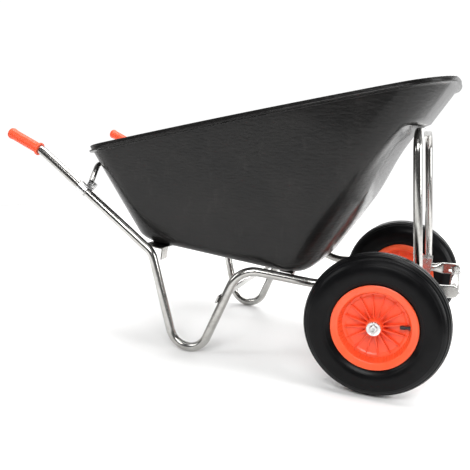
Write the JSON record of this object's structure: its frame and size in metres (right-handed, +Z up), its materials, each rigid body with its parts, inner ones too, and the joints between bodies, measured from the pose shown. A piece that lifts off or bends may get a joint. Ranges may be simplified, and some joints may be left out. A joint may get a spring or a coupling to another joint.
{
  "type": "wheelbarrow",
  "caption": "Twin-wheel yard wheelbarrow with a deep moulded tray on a galvanised tube frame, looped legs, a front hoop and pneumatic tyres on a fixed axle.",
  "frame": {"origin": "on the ground, centred on the length and the width of the barrow", "axes": "+X towards the nose, +Y to the pusher's left, +Z up"},
  "size_m": [1.4356, 0.782, 0.8699],
  "materials": {
    "tray_plastic": "fine grained satin black",
    "galvanised_tube": "bright galvanised, slightly mottled",
    "zinc_plate": "bright zinc plate",
    "rim_plastic": "glossy orange red",
    "grip_plastic": "satin orange red",
    "tyre": "dark rubber with a sheen",
    "tube_rubber": "matte butyl rubber",
    "black_plastic": "satin black"
  },
  "bodies": {
    "frame": {"tray": "tray_plastic", "frame_tube_right": "galvanised_tube", "frame_tube_left": "galvanised_tube", "nose_bar": "galvanised_tube", "nose_bolt_right": "zinc_plate", "nose_bolt_left": "zinc_plate", "rear_cross_angle": "galvanised_tube", "front_cross_angle": "galvanised_tube", "leg_strap": "galvanised_tube", "tray_bolt_rear_right": "zinc_plate", "tray_bolt_rear_left": "zinc_plate", "tray_nut_rear_right": "zinc_plate", "tray_nut_rear_left": "zinc_plate", "tray_bolt_front_right": "zinc_plate", "tray_bolt_front_left": "zinc_plate", "tray_nut_front_right": "zinc_plate", "tray_nut_front_left": "zinc_plate", "front_hoop": "galvanised_tube", "hoop_cradle_right": "zinc_plate", "hoop_cradle_left": "zinc_plate", "hoop_bolt_right": "zinc_plate", "hoop_bolt_left": "zinc_plate", "hoop_nut_right": "zinc_plate", "hoop_nut_left": "zinc_plate", "brace_clamp_right": "zinc_plate", "brace_clamp_left": "zinc_plate", "clamp_bolt_right": "zinc_plate", "clamp_bolt_left": "zinc_plate", "clamp_nut_right": "zinc_plate", "clamp_nut_left": "zinc_plate", "rear_brace": "galvanised_tube", "axle_hanger_right": "zinc_plate", "axle_hanger_left": "zinc_plate", "hanger_bolt_rear_right": "zinc_plate", "hanger_bolt_rear_left": "zinc_plate", "hanger_nut_rear_right": "zinc_plate", "hanger_nut_rear_left": "zinc_plate", "hanger_bolt_front_right": "zinc_plate", "hanger_bolt_front_left": "zinc_plate", "hanger_nut_front_right": "zinc_plate", "hanger_nut_front_left": "zinc_plate", "axle": "zinc_plate", "axle_washer_right": "zinc_plate", "axle_washer_left": "zinc_plate", "split_pin_right": "zinc_plate", "split_pin_left": "zinc_plate", "grip_right": "grip_plastic", "grip_left": "grip_plastic"},
    "wheel_right": {"tyre_right": "tyre", "rim_right": "rim_plastic", "inner_tube_right": "tube_rubber", "bush_outer_right": "black_plastic", "bush_inner_right": "black_plastic", "valve_cap_right": "black_plastic"},
    "wheel_left": {"tyre_left": "tyre", "rim_left": "rim_plastic", "inner_tube_left": "tube_rubber", "bush_outer_left": "black_plastic", "bush_inner_left": "black_plastic", "valve_cap_left": "black_plastic"}
  },
  "joints": [
    {"name": "wheel_right_spin", "type": "hinge", "parent": "frame", "child": "wheel_right", "pos_m": [0.51016, -0.338, 0.2], "axis": [0, 1, 0], "continuous": true},
    {"name": "wheel_left_spin", "type": "hinge", "parent": "frame", "child": "wheel_left", "pos_m": [0.51016, 0.338, 0.2], "axis": [0, 1, 0], "continuous": true}
  ]
}
